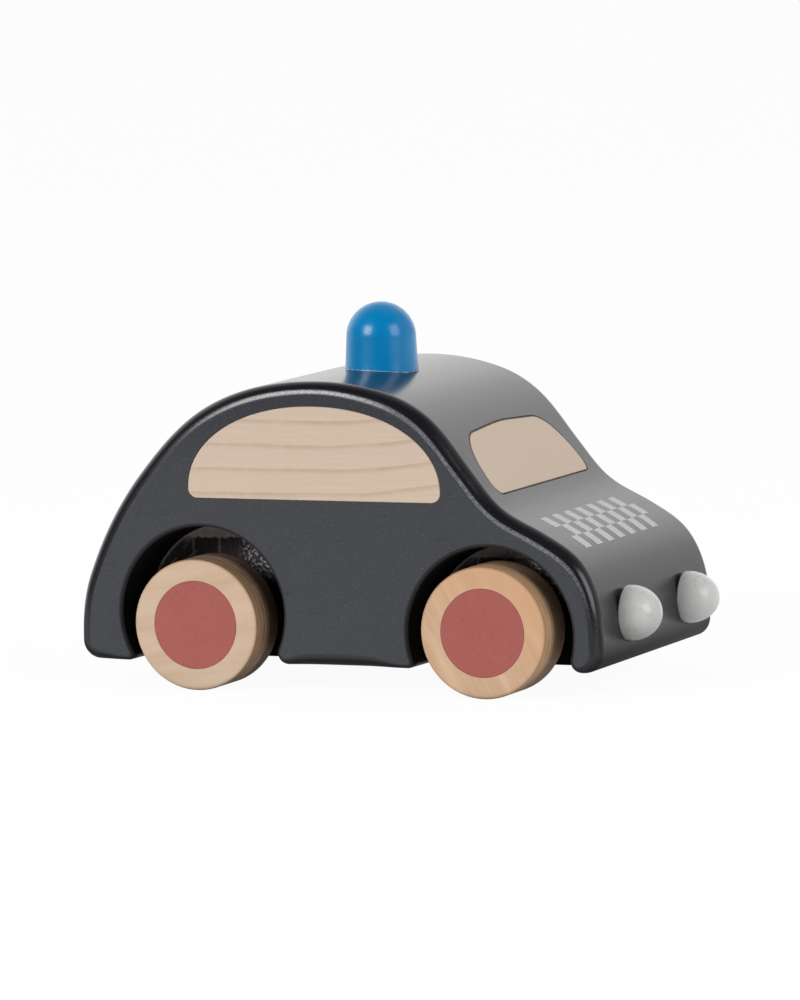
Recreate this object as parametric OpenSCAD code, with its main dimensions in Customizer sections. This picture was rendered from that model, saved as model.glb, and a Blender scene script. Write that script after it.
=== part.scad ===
// Wooden push-along toy car with a domed roof, a turned roof lamp and two
// half-ball headlights. It rolls on two wheelsets, each a dowel axle with a
// wheel glued to either end. Millimetres, +X to the nose, +Z up, floor at z = 0.

/* [Body] */
// Length of the wooden body from tail to nose
body_len = 148; // [142:1:154]
// Width of the body across both side boards
body_w = 88; // [86:1:92]
// Height of the roof's crown above the floor
roof_h = 82.2; // [80:0.2:86]
// Height of the flat underside above the floor
belly_z = 7; // [6:0.5:8]
// Thickness of each side board
board_t = 13.5; // [13:0.5:14.5]
// Radius of the rounded edge that runs round each side board
edge_r = 3.8; // [2:0.2:4.4]

/* [Wheels] */
// Diameter of a wheel
wheel_d = 35; // [33:0.5:36]
// Thickness of a wheel
wheel_t = 16; // [14:0.5:16]
// Distance from the rear axle to the front axle
wheel_base = 81.5; // [80:0.5:84]
// How far a wheel's face stands out beyond the side of the body
wheel_proud = 4; // [3.5:0.5:6]
// Radius of the rounded corners of a wheel's rim
rim_r = 1.5; // [0.5:0.5:2.5]
// Diameter of a dowel axle
axle_d = 8; // [6:0.5:9]
// Running clearance all round an axle in the core block
axle_gap = 0.05; // [0.02:0.01:0.1]
// Diameter of the red disc let into a wheel's face
disc_d = 23.4; // [20:0.2:25]
// Thickness of the red disc
disc_t = 1.2; // [0.8:0.2:2]

/* [Wheel arches] */
// Radius of an arch just inside its rounded edge
arch_r = 23.1; // [22.6:0.1:23.5]
// Radius of an arch at its floor, where the tapered cutter leaves it narrower
arch_floor_r = 22; // [21.4:0.1:22.4]
// Depth of an arch from the side of the body, through the board and into the core
arch_depth = 17; // [15:0.5:18]
// Radius of the rounded edge of an arch
arch_edge_r = 1.2; // [0.6:0.2:1.6]
// Radius of the lower front corner of an arch, where it runs out through the underside
arch_corner_r = 3; // [2:0.5:3]
// Radius of the lower rear corner of an arch
arch_corner_back_r = 1.2; // [0.8:0.2:3]
// How far the centre of the rear arch lies above the rear axle
rear_arch_up = 2.6; // [2:0.1:3]
// How far the centre of the front arch lies above the front axle
front_arch_up = -1; // [-1.4:0.1:0]
// How far the centre of each arch lies ahead of its axle
arch_ahead = 0.4; // [0:0.1:0.8]

/* [Roof lamp] */
// Diameter of the lamp at its base
lamp_d = 19.6; // [16:0.2:22]
// Height of the lamp above its seat
lamp_h = 18.6; // [16:0.2:22]
// Place of the lamp along the body
lamp_x = -7.9; // [-12:0.1:-4]
// Diameter of the lamp's dowel
lamp_pin_d = 8; // [6:0.5:10]

/* [Headlights] */
// Diameter of the left headlight, which was turned a little smaller
light_d_left = 13.9; // [12:0.1:14.4]
// Diameter of the right headlight
light_d_right = 14.7; // [12:0.1:15]
// Length of a headlight in front of its seat
light_len = 9.5; // [8:0.1:11]
// Distance of the left headlight from the middle of the car
light_y_left = 23; // [18:0.5:23]
// Distance of the right headlight from the middle of the car
light_y_right = 21.5; // [18:0.5:22.5]
// Height of the left headlight's middle above the floor
light_z_left = 19.7; // [18:0.1:24]
// Height of the right headlight's middle above the floor
light_z_right = 20.7; // [18:0.1:24]
// Diameter of a headlight's dowel
light_pin_d = 5; // [4:0.5:6]

/* [Windows] */
// Thickness of the bare wood let into the body as windows
veneer_t = 1; // [0.6:0.1:1.5]
// Half the length of a side window
side_win_a = 35.9; // [32:0.1:37]
// Height of a side window's arch above its straight lower part
side_win_b = 22.3; // [20:0.1:22.6]
// Height of a side window's lower edge
side_win_z = 50.9; // [49:0.1:52]
// Half the width of the windscreen along its lower edge
screen_half = 34.3; // [30:0.1:36]

/* [Hidden] */
$fn = 96;

charcoal = [0.20, 0.21, 0.23];
bare_wood = [0.82, 0.73, 0.65];
wheel_wood = [0.82, 0.70, 0.58];
hub_red = [0.67, 0.37, 0.34];
lamp_blue = [0.10, 0.46, 0.68];
light_grey = [0.74, 0.74, 0.73];

half_w = body_w / 2;
core_half = half_w - board_t;
axle_z = wheel_d / 2;
rear_x = -43.2;
front_x = rear_x + wheel_base;
face_y = half_w + wheel_proud;
glue = 0.05;         // gap all round a glued dowel or an inlay
tail_corner = 5;
nose_corner = 5;
seat_z = roof_h - 0.9;
nose_x = 69.5 * body_len / 148;
seat_x = nose_x - 0.5;
lamp_pin_in = 16;
lamp_pin_out = 9;
light_pin_in = 12;
light_pin_out = 5;

// Side outline as stations [x, z, heading in degrees], from the tail over the
// roof, down the windscreen and along the bonnet to the nose.
stations = [
    [-78.5, 14, 90],    // tail
    [-76, 30, 70],
    [-61, 57, 51],      // middle of the rear slope
    [-42, 74.8, 29.5],
    [-10, 82.2, 0],     // crown of the roof
    [10, 79.2, -17.5],
    [22, 72.4, -42],    // head of the windscreen
    [32.5, 59.8, -51],
    [42, 49.3, -36],    // foot of the windscreen
    [53, 43.4, -29],    // bonnet
    [61.5, 38, -41],
    [67, 29.8, -68],
    [69.5, 15, -90]     // nose
];

function dir(a) = [cos(a), sin(a)];
function xy(s) = [s[0], s[1]];
function arm(a, b) = norm(xy(b) - xy(a)) / (3 * pow(cos((b[2] - a[2]) / 4), 2));
function bez(p, q, r, s, t) =
    pow(1 - t, 3) * p + 3 * pow(1 - t, 2) * t * q + 3 * (1 - t) * t * t * r + pow(t, 3) * s;
function steps(a, b) = max(4, ceil(norm(xy(b) - xy(a)) / 1.7));
function span(a, b) =
    let (h = arm(a, b), n = steps(a, b),
         p = xy(a), q = p + h * dir(a[2]), s = xy(b), r = s - h * dir(b[2]))
    [for (i = [0 : n - 1]) bez(p, q, r, s, i / n)];
// The outline at the body's own length and height
function fitted(p) =
    [p[0] * body_len / 148, belly_z + (p[1] - 7) * (roof_h - belly_z) / 75.2];
function curve(first, last) = [
    for (i = [first : last - 1]) each [for (p = span(stations[i], stations[i + 1])) fitted(p)],
    fitted(xy(stations[last]))
];
function corner(c, r, a0, a1, n) = [for (i = [0 : n]) c + r * dir(a0 + (a1 - a0) * i / n)];

tail_x = fitted(xy(stations[0]))[0];
outline = concat(
    corner([tail_x + tail_corner, belly_z + tail_corner], tail_corner, 270, 180, 6),
    curve(0, len(stations) - 1),
    corner([nose_x - nose_corner, belly_z + nose_corner], nose_corner, 0, -90, 7)
);
count = len(outline);

// Points of a closed or open line moved sideways by d, to the right of its run
function unit(v) = v / norm(v);
function right(v) = [v[1], -v[0]];
function moved(line, d, closed) =
    let (n = len(line))
    [for (i = [0 : n - 1])
        let (a = line[closed ? (i + n - 1) % n : max(0, i - 1)],
             b = line[closed ? (i + 1) % n : min(n - 1, i + 1)])
        line[i] + d * right(unit(b - a))];
function backwards(line) = [for (i = [len(line) - 1 : -1 : 0]) line[i]];

// A polygon with each corner rounded by its own radius
function round_corner(a, b, c, r, n) =
    let (u = unit(a - b), v = unit(c - b), th = acos(u * v), w = unit(u + v),
         o = b + w * r / sin(th / 2), p = b + u * r / tan(th / 2), q = b + v * r / tan(th / 2),
         a0 = atan2(p[1] - o[1], p[0] - o[0]), a1 = atan2(q[1] - o[1], q[0] - o[0]),
         turn = (a1 - a0 + 540) % 360 - 180)
    [for (i = [0 : n]) o + r * dir(a0 + turn * i / n)];
function rounded(points, radii, n) =
    let (m = len(points))
    [for (i = [0 : m - 1])
        each round_corner(points[(i + m - 1) % m], points[i], points[(i + 1) % m], radii[i], n)];

// Extrudes an outline in x and z from y = low to y = high
module across(low, high) {
    translate([0, high, 0]) rotate([90, 0, 0]) linear_extrude(height = high - low) children();
}

// Extrudes an outline in y and z along x
module along(low, high) {
    translate([low, 0, 0]) rotate([90, 0, 90]) linear_extrude(height = high - low) children();
}

// Outline of the windscreen or the rear window, seen from the front
module screen_shape(half, low, high, top_r, grow) {
    polygon(rounded(
        [[-half - grow, low - grow], [half + grow, low - grow],
         [half - 2.3 + grow, high - 1 + grow], [0, high + 0.5 + grow], [-half + 2.3 - grow, high - 1 + grow]],
        [3, 3, top_r, 150, top_r], 8));
}

// A layer of the body's skin between two depths over part of the outline
module skin(first, last, out, deep, half) {
    line = curve(first, last);
    across(-half, half) polygon(concat(moved(line, -out, false), backwards(moved(line, deep, false))));
}

module windscreen_layer(out, grow) {
    intersection() {
        skin(5, 10, out, veneer_t, half_w);
        along(10, 60) screen_shape(screen_half, 52.3, 68.3, 12.5, grow);
    }
}

module rear_window_layer(out, grow) {
    intersection() {
        skin(1, 4, out, veneer_t, half_w);
        along(-75, -40) screen_shape(screen_half - 4, 52.3, 66.8, 10.5, grow);
    }
}

// Side window: a slightly full half oval on a straight sill with small round corners
function full(v) = sign(v) * pow(abs(v), 0.96);
module side_window_shape(grow) {
    r = 2.6;
    a = side_win_a + grow;
    z0 = side_win_z + r;
    translate([-10.3, 0]) polygon(concat(
        corner([a - r, z0], r + grow, 0, -90, 6),
        corner([r - a, z0], r + grow, -90, -180, 6),
        [for (t = [172 : -4 : 8]) [a * full(cos(t)), z0 + (side_win_b + grow) * full(sin(t))]]
    ));
}

// Cutter for one wheel arch: a round pocket, a little tapered, whose mouth flares with a quarter round
module arch_cut(x, z) {
    translate([x, 0, z]) rotate([-90, 0, 0]) rotate_extrude() union() {
        polygon([[0, half_w - arch_depth], [arch_floor_r, half_w - arch_depth],
                 [arch_r, half_w - arch_edge_r], [arch_r, half_w + 3], [0, half_w + 3]]);
        difference() {
            translate([arch_r - 0.01, half_w - arch_edge_r]) square([arch_edge_r + 0.01, arch_edge_r + 3]);
            translate([arch_r + arch_edge_r, half_w - arch_edge_r]) circle(arch_edge_r);
        }
    }
}

// Cutter that rounds the two lower corners of an arch in a side board
module arch_corners(x, z) {
    for (s = [-1, 1]) {
        r = s > 0 ? arch_corner_r : arch_corner_back_r;
        zc = belly_z + r;
        run = sqrt(pow(arch_r + r, 2) - pow(zc - z, 2));
        a1 = atan2(z - zc, -s * run);
        turn = (a1 + 90 + 540) % 360 - 180;
        across(core_half - 1, half_w + 2) polygon(concat(
            [[x, belly_z - 2], [x + s * run, belly_z - 2]],
            [for (i = [0 : 8]) [x + s * run, zc] + r * dir(-90 + turn * i / 8)],
            [[x, z]]
        ));
    }
}

module arches() {
    arch_cut(rear_x + arch_ahead, axle_z + rear_arch_up);
    arch_cut(front_x + arch_ahead, axle_z + front_arch_up);
}

// One side board with its outer edge rounded, for the +y side
module board_blank() {
    bevel = [for (a = [0 : 15 : 90]) [half_w - edge_r + edge_r * sin(a), edge_r * (1 - cos(a))]];
    rings = concat([[core_half, 0]], bevel);
    points = [for (r = rings) each [for (p = moved(outline, r[1], true)) [p[0], r[0], p[1]]]];
    last = len(rings) - 1;
    faces = concat(
        [[for (i = [0 : count - 1]) i]],
        [[for (i = [count - 1 : -1 : 0]) last * count + i]],
        [for (k = [0 : last - 1], i = [0 : count - 1])
            let (j = (i + 1) % count)
            [k * count + i, (k + 1) * count + i, (k + 1) * count + j, k * count + j]]
    );
    polyhedron(points, faces, convexity = 8);
}

module side_board() {
    difference() {
        board_blank();
        arches();
        arch_corners(rear_x + arch_ahead, axle_z + rear_arch_up);
        arch_corners(front_x + arch_ahead, axle_z + front_arch_up);
        across(half_w - veneer_t, half_w + 2) side_window_shape(0);
        windscreen_layer(2, 0);
        rear_window_layer(2, 0);
    }
}

module body_core() {
    color(charcoal) difference() {
        across(-core_half, core_half) polygon(outline);
        windscreen_layer(2, 0);
        rear_window_layer(2, 0);
        for (x = [rear_x, front_x])
            translate([x, 0, axle_z]) rotate([90, 0, 0])
                cylinder(h = body_w, r = axle_d / 2 + axle_gap, center = true);
        arches();
        mirror([0, 1, 0]) arches();
        translate([lamp_x, 0, seat_z]) cylinder(h = 10, d = lamp_d + 0.4);
        translate([lamp_x, 0, seat_z - lamp_pin_in]) cylinder(h = lamp_pin_in + 1, d = lamp_pin_d + 2 * glue);
        for (s = [-1, 1]) translate(light_seat(s)) rotate([0, 90, 0]) {
            cylinder(h = 10, d = light_d(s) + 0.4);
            translate([0, 0, -light_pin_in]) cylinder(h = light_pin_in + 1, d = light_pin_d + 2 * glue);
        }
    }
}

module side_board_left() { color(charcoal) side_board(); }
module side_board_right() { color(charcoal) mirror([0, 1, 0]) side_board(); }

module windscreen() { color(bare_wood) windscreen_layer(0, -glue); }
module rear_window() { color(bare_wood) rear_window_layer(0, -glue); }
module side_window_left() { color(bare_wood) across(half_w - veneer_t, half_w) side_window_shape(-glue); }
module side_window_right() { color(bare_wood) mirror([0, 1, 0]) across(half_w - veneer_t, half_w) side_window_shape(-glue); }

// Turned lamp: a slightly tapered post under a half ball, with a blind dowel hole
module roof_lamp() {
    top_r = lamp_d / 2 - 0.45;
    post_h = lamp_h - top_r;
    color(lamp_blue) translate([lamp_x, 0, seat_z]) difference() {
        rotate_extrude() union() {
            polygon([[0, 0], [lamp_d / 2 - 0.4, 0], [lamp_d / 2, 0.4], [top_r, post_h], [0, post_h]]);
            translate([0, post_h]) intersection() {
                circle(top_r);
                square([top_r, top_r]);
            }
        }
        translate([0, 0, -1]) cylinder(h = lamp_pin_out + 1, d = lamp_pin_d + 2 * glue);
    }
}

module lamp_dowel() {
    color(wheel_wood) translate([lamp_x, 0, seat_z - lamp_pin_in]) cylinder(h = lamp_pin_in + lamp_pin_out, d = lamp_pin_d);
}

function light_d(s) = s > 0 ? light_d_left : light_d_right;
function light_seat(s) = [seat_x, s > 0 ? light_y_left : -light_y_right, s > 0 ? light_z_left : light_z_right];

// Half-ball headlight, a little longer than it is round, with a blind dowel hole
module headlight(s) {
    r = light_d(s) / 2;
    base = 1.2;
    color(light_grey) translate(light_seat(s)) rotate([0, 90, 0]) difference() {
        rotate_extrude() polygon(concat(
            [[0, 0], [r - 0.4, 0], [r, 0.4]],
            [for (t = [0 : 6 : 84]) [r * cos(t), base + (light_len - base) * sin(t)]],
            [[0, light_len]]
        ));
        translate([0, 0, -1]) cylinder(h = light_pin_out + 1, d = light_pin_d + 2 * glue);
    }
}
module headlight_left() { headlight(1); }
module headlight_right() { headlight(-1); }

module headlight_dowel(s) {
    color(wheel_wood) translate(light_seat(s) - [light_pin_in, 0, 0]) rotate([0, 90, 0])
        cylinder(h = light_pin_in + light_pin_out, d = light_pin_d);
}
module headlight_dowel_left() { headlight_dowel(1); }
module headlight_dowel_right() { headlight_dowel(-1); }

// Dowel axle that ends flush with the floor of the disc's recess in each wheel
module axle(x) {
    color(wheel_wood) translate([x, 0, axle_z]) rotate([90, 0, 0])
        cylinder(h = 2 * (face_y - disc_t), d = axle_d, center = true);
}
module front_axle() { axle(front_x); }
module rear_axle() { axle(rear_x); }

// Turned wheel, face towards +y or -y, bored for the axle and recessed for the disc
module wheel(x, s) {
    r = wheel_d / 2;
    color(wheel_wood) translate([x, s * (face_y - wheel_t), axle_z]) rotate([-90 * s, 0, 0]) difference() {
        rotate_extrude() union() {
            square([r - rim_r, wheel_t]);
            translate([0, rim_r]) square([r, wheel_t - 2 * rim_r]);
            for (h = [rim_r, wheel_t - rim_r]) translate([r - rim_r, h]) circle(rim_r);
        }
        translate([0, 0, -1]) cylinder(h = wheel_t + 2, d = axle_d);
        translate([0, 0, wheel_t - disc_t]) cylinder(h = disc_t + 1, d = disc_d + 2 * glue);
    }
}
module wheel_front_left() { wheel(front_x, 1); }
module wheel_front_right() { wheel(front_x, -1); }
module wheel_rear_left() { wheel(rear_x, 1); }
module wheel_rear_right() { wheel(rear_x, -1); }

module hub_disc(x, s) {
    color(hub_red) translate([x, s * (face_y - disc_t), axle_z]) rotate([-90 * s, 0, 0])
        cylinder(h = disc_t, d = disc_d);
}
module hub_disc_front_left() { hub_disc(front_x, 1); }
module hub_disc_front_right() { hub_disc(front_x, -1); }
module hub_disc_rear_left() { hub_disc(rear_x, 1); }
module hub_disc_rear_right() { hub_disc(rear_x, -1); }

body_core();
side_board_left();
side_board_right();
windscreen();
rear_window();
side_window_left();
side_window_right();
roof_lamp();
lamp_dowel();
headlight_left();
headlight_right();
headlight_dowel_left();
headlight_dowel_right();
front_axle();
rear_axle();
wheel_front_left();
wheel_front_right();
wheel_rear_left();
wheel_rear_right();
hub_disc_front_left();
hub_disc_front_right();
hub_disc_rear_left();
hub_disc_rear_right();
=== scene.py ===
import math

import bpy
import numpy as np
from mathutils import Matrix, Vector
from mathutils.geometry import delaunay_2d_cdt


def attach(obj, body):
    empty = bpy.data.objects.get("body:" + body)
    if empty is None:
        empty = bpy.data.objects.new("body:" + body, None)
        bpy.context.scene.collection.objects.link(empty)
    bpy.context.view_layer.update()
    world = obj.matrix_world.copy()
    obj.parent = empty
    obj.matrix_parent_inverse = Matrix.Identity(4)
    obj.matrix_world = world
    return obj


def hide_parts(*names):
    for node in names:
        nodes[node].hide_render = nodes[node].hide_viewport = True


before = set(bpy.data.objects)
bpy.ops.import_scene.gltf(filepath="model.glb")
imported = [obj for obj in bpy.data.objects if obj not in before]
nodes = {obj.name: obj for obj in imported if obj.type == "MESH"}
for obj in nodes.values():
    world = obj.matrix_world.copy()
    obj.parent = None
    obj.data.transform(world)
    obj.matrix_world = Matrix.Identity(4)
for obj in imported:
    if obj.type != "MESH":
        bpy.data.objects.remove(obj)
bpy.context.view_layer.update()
scene = bpy.context.scene
MM = 0.001

# ---------------------------------------------------------------- dimensions, mm
CORE_HALF, HALF_W = 30.5, 44.0
BELLY = 7.0
WHEEL_R, WHEEL_T, FACE_Y, RIM_R = 17.498, 16.0, 48.0, 1.1
AXLE_Z, REAR_X, FRONT_X = 17.5, -43.2, 38.3
DISC_R, DISC_T = 11.7, 1.2
ARCH_R, ARCH_EDGE, CORNER_BACK, CORNER_AHEAD = 23.1, 1.2, 1.6, 3.0
ARCH_IN_R, FLOOR_R, FLOOR_Y = 22.25, 22.0, 27.0
ARCHES = [(REAR_X + 0.4, AXLE_Z + 2.6), (FRONT_X + 0.4, AXLE_Z - 1.0)]
LAMP_X, LAMP_R, LAMP_H, SEAT_Z = -7.9, 9.8, 18.598, 81.3
LIGHTS = {1: (6.95, 23.0, 19.7), -1: (7.35, -21.5, 20.7)}    # radius, y and z of the left and the right headlight
LIGHT_L, SEAT_X = 9.5, 69.0
VENEER = 1.0

STATIONS = [(-78.5, 14, 90), (-76, 30, 70), (-61, 57, 51), (-42, 74.8, 29.5), (-10, 82.2, 0),
            (10, 79.2, -17.5), (22, 72.4, -42), (32.5, 59.8, -51), (42, 49.3, -36),
            (53, 43.4, -29), (61.5, 38, -41), (67, 29.8, -68), (69.5, 15, -90)]


# ---------------------------------------------------------------- outline of the body
def heading(deg):
    return np.array([math.cos(math.radians(deg)), math.sin(math.radians(deg))])


def span(a, b, step):
    p, s = np.array(a[:2], float), np.array(b[:2], float)
    chord = np.linalg.norm(s - p)
    h = chord / (3 * math.cos(math.radians((b[2] - a[2]) / 4)) ** 2)
    q, r = p + h * heading(a[2]), s - h * heading(b[2])
    n = max(6, math.ceil(chord / step))
    t = (np.arange(n) / n)[:, None]
    return (1 - t) ** 3 * p + 3 * (1 - t) ** 2 * t * q + 3 * (1 - t) * t * t * r + t ** 3 * s


def arc(c, r, a0, a1, n):
    t = np.radians(np.linspace(a0, a1, n + 1))
    return np.stack([c[0] + r * np.cos(t), c[1] + r * np.sin(t)], 1)


def curve(first, last, step=0.6):
    parts = [span(STATIONS[i], STATIONS[i + 1], step) for i in range(first, last)]
    return np.vstack(parts + [np.array([STATIONS[last][:2]], float)])


def normals(line, closed):
    """Unit normals to the left of the run, which is outwards here."""
    if closed:
        d = np.roll(line, -1, 0) - line
        d /= np.linalg.norm(d, axis=1)[:, None]
        t = d + np.roll(d, 1, 0)
    else:
        d = np.diff(line, axis=0)
        d /= np.linalg.norm(d, axis=1)[:, None]
        t = np.vstack([d[:1], d[1:] + d[:-1], d[-1:]])
    t /= np.linalg.norm(t, axis=1)[:, None]
    return np.stack([-t[:, 1], t[:, 0]], 1)


TAIL_C, NOSE_C = 5.0, 5.0
TAIL_ARC = arc((-78.5 + TAIL_C, BELLY + TAIL_C), TAIL_C, 270, 180, 14)
NOSE_ARC = arc((69.5 - NOSE_C, BELLY + NOSE_C), NOSE_C, 0, -90, 16)
TOP = curve(0, len(STATIONS) - 1)


def straight(x0, x1):
    """Points of the underside between two places, without the places themselves."""
    x = np.linspace(x0, x1, max(1, math.ceil(abs(x1 - x0) / 2)) + 1)[1:-1]
    return np.stack([x, np.full(len(x), BELLY)], 1)


OUTLINE = np.vstack([TAIL_ARC, TOP, NOSE_ARC, straight(69.5 - NOSE_C, -78.5 + TAIL_C)])

# A side board's own outline goes up and over both arches. Each point has the radius that the edge is
# rounded to there, sanded by hand and so not quite even, and how far it belongs to an arch.
EDGE_AT = [-78.5, -76, -61, -42, -10, 10, 22, 42, 53, 61.5, 67, 69.5]
EDGE_R = [3.4, 3.9, 4.1, 4.1, 3.4, 4.1, 4.5, 4.0, 4.0, 4.2, 3.6, 3.5]


def arch_foot(az, f):
    """Where a corner of radius f joins an arch to the underside: its height, its distance from the arch's middle, and its angle."""
    zc = BELLY + f
    run = math.sqrt((ARCH_R + f) ** 2 - (az - zc) ** 2)
    return zc, run, math.degrees(math.atan2(az - zc, run))


def under(x0, x1, tip):
    """The underside between two places, with a sharper edge for a little way from an arch's rear corner at x0."""
    line = straight(x0, x1)
    return line, np.where(tip & (x0 - line[:, 0] < 6), ARCH_EDGE, 3.6), 0.0


def board_outline():
    parts = [(TAIL_ARC, 3.4, 0.0), (TOP, np.interp(TOP[:, 0], EDGE_AT, EDGE_R), 0.0), (NOSE_ARC, 3.4, 0.0)]
    x, fade = 69.5 - NOSE_C, np.linspace(0, 1, 13)
    for k, (ax, az) in enumerate(reversed(ARCHES)):
        z1, run1, a1 = arch_foot(az, CORNER_AHEAD)
        z0, run0, a0 = arch_foot(az, CORNER_BACK)
        parts.append(under(x, ax + run1, k > 0))
        parts.append((arc((ax + run1, z1), CORNER_AHEAD, -90, -180 - a1, 12), ARCH_EDGE, fade))
        parts.append((arc((ax, az), ARCH_R, -a1, 180 + a0, 150)[1:-1], ARCH_EDGE, 1.0))
        parts.append((arc((ax - run0, z0), CORNER_BACK, a0, -90, 12), ARCH_EDGE, fade[::-1]))
        x = ax - run0
    parts.append(under(x, -78.5 + TAIL_C, True))
    line = np.vstack([p for p, _, _ in parts])
    edge = np.concatenate([np.broadcast_to(r, len(p)) for p, r, _ in parts])
    arch = np.concatenate([np.broadcast_to(w, len(p)) for p, _, w in parts])
    step = np.linalg.norm(np.roll(line, -1, 0) - line, axis=1)
    at, total = np.concatenate([[0], np.cumsum(step)[:-1]]), step.sum()
    gap = np.abs(at[:, None] - at[None, :])
    near = np.exp(-0.5 * (np.minimum(gap, total - gap) / 3.4) ** 2) * (step + np.roll(step, 1))[None, :]
    return line, (near @ edge) / near.sum(1), arch


BOARD, BOARD_EDGE, BOARD_ARCH = board_outline()
BOARD_N = normals(BOARD, True)


def roof_z(x):
    top = curve(2, 8, 0.3)
    return np.interp(x, top[:, 0], top[:, 1])


# ---------------------------------------------------------------- mesh helpers, mm in, metres out
def mesh_from(name, verts, faces):
    me = bpy.data.meshes.new(name)
    me.from_pydata([tuple(float(c) for c in v) for v in verts], [], faces)
    me.validate()
    return me


def add(name, me):
    o = bpy.data.objects.new(name, me)
    scene.collection.objects.link(o)
    return o


def loft(name, rings, cap_first=None, cap_last=None):
    """Closed solid from rings of equal length; a cap is a list of triangles over the ring, or None for one flat face."""
    n, k = len(rings[0]), len(rings)
    verts = np.vstack(rings)
    faces = []
    for j in range(k - 1):
        for i in range(n):
            m = (i + 1) % n
            faces.append((j * n + i, (j + 1) * n + i, (j + 1) * n + m, j * n + m))
    extra = []
    for ring, cap, flip in ((0, cap_first, False), (k - 1, cap_last, True)):
        if cap is None:
            f = [ring * n + i for i in range(n)]
            faces.append(tuple(reversed(f)) if flip else tuple(f))
        else:
            tris, inner = cap
            base = len(verts) + sum(len(e) for e in extra)
            extra.append(inner)
            for t in tris:
                f = [ring * n + v if v < n else base + v - n for v in t]
                faces.append(tuple(reversed(f)) if flip else tuple(f))
    if extra:
        verts = np.vstack([verts] + extra)
    me = mesh_from(name, verts, faces)
    return me


def outward(me):
    import bmesh
    bm = bmesh.new()
    bm.from_mesh(me)
    bmesh.ops.recalc_face_normals(bm, faces=bm.faces)
    if bm.calc_volume(signed=True) < 0:
        bmesh.ops.reverse_faces(bm, faces=bm.faces)
    bm.to_mesh(me)
    bm.free()
    return me


def revolve(name, profile, at, axis, segs=160, closed=False, wobble=None):
    """Turns a profile of (radius, height) about an axis through at: a solid of revolution, or a ring if closed."""
    prof = np.array(profile, float)
    ang = np.arange(segs) * 2 * math.pi / segs
    axis = Vector(axis).normalized()
    u = axis.orthogonal().normalized()
    if abs(axis.x) > 0.9:
        u = Vector((0, 1, 0))
    elif abs(axis.y) > 0.9 or abs(axis.z) > 0.9:
        u = Vector((1, 0, 0))
    w = axis.cross(u)
    A, U, W = (np.array(v) for v in (axis, u, w))
    verts, faces, start = [], [], []
    for r, h in prof:
        if r < 1e-6:
            start.append((len(verts), 1))
            verts.append(np.array(at) + A * h)
        else:
            start.append((len(verts), segs))
            for a in ang:
                rr, hh = (r, h) if wobble is None else wobble(r, h, a)
                verts.append(np.array(at) + A * hh + rr * (math.cos(a) * U + math.sin(a) * W))
    m = len(prof)
    for j in range(m if closed else m - 1):
        (a, na), (b, nb) = start[j], start[(j + 1) % m]
        for i in range(segs):
            k = (i + 1) % segs
            if na == 1 and nb == 1:
                continue
            if na == 1:
                faces.append((a, b + i, b + k))
            elif nb == 1:
                faces.append((a + i, b, a + k))
            else:
                faces.append((a + i, b + i, b + k, a + k))
    return outward(mesh_from(name, verts, faces))


def carve(name, me, cutters):
    """The mesh less every cutter, as a finished object."""
    o = add(name, me)
    made = []
    for i, c in enumerate(cutters):
        k = add(f"{name}.cut{i}", c)
        made.append(k)
        mod = o.modifiers.new(f"cut{i}", "BOOLEAN")
        mod.operation, mod.solver, mod.object = "DIFFERENCE", "EXACT", k
    bpy.context.view_layer.update()
    dg = bpy.context.evaluated_depsgraph_get()
    done = bpy.data.meshes.new_from_object(o.evaluated_get(dg))
    o.modifiers.clear()
    o.data = done
    for k in made:
        bpy.data.objects.remove(k)
    return o


def finish_piece(o, body, replaced, materials, sharp=32.0, weighted=True, pick=None):
    """Scales to metres, sets the shading normals, gives the materials and hands the piece to its body."""
    me = o.data
    mid = np.empty(3 * len(me.polygons))
    me.polygons.foreach_get("center", mid)
    use = np.zeros(len(me.polygons), int) if pick is None else pick(mid.reshape(-1, 3)).astype(int)
    me.transform(Matrix.Scale(MM, 4))
    me.materials.clear()
    for m in materials:
        me.materials.append(m)
    me.polygons.foreach_set("material_index", use)
    me.polygons.foreach_set("use_smooth", np.ones(len(me.polygons), bool))
    me.set_sharp_from_angle(angle=math.radians(sharp))
    me.update()
    if weighted:
        mod = o.modifiers.new("normals", "WEIGHTED_NORMAL")
        mod.mode, mod.weight, mod.keep_sharp = "FACE_AREA", 60, True
        bpy.context.view_layer.update()
        dg = bpy.context.evaluated_depsgraph_get()
        done = bpy.data.meshes.new_from_object(o.evaluated_get(dg))
        o.modifiers.clear()
        o.data = done
    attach(o, body)
    if replaced:
        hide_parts(*replaced)
    return o


def shifted(line, d):
    return line + d * normals(line, True)


def rounded(points, radii, n):
    out, m = [], len(points)
    for i in range(m):
        a, b, c = (np.array(points[j % m], float) for j in (i - 1, i, i + 1))
        u, v = (a - b) / np.linalg.norm(a - b), (c - b) / np.linalg.norm(c - b)
        th, w = math.acos(float(u @ v)), (u + v) / np.linalg.norm(u + v)
        r = radii[i]
        o, p, q = b + w * r / math.sin(th / 2), b + u * r / math.tan(th / 2), b + v * r / math.tan(th / 2)
        a0, a1 = math.atan2(*(p - o)[::-1]), math.atan2(*(q - o)[::-1])
        turn = (a1 - a0 + 3 * math.pi) % (2 * math.pi) - math.pi
        out += [o + r * np.array([math.cos(a0 + turn * k / n), math.sin(a0 + turn * k / n)]) for k in range(n + 1)]
    return np.array(out)


def evenly(loop, step):
    """A closed loop resampled at even steps."""
    p = np.vstack([loop, loop[:1]])
    s = np.concatenate([[0], np.cumsum(np.linalg.norm(np.diff(p, axis=0), axis=1))])
    n = int(round(s[-1] / step))
    t = np.arange(n) * s[-1] / n
    return np.stack([np.interp(t, s, p[:, 0]), np.interp(t, s, p[:, 1])], 1)


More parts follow.
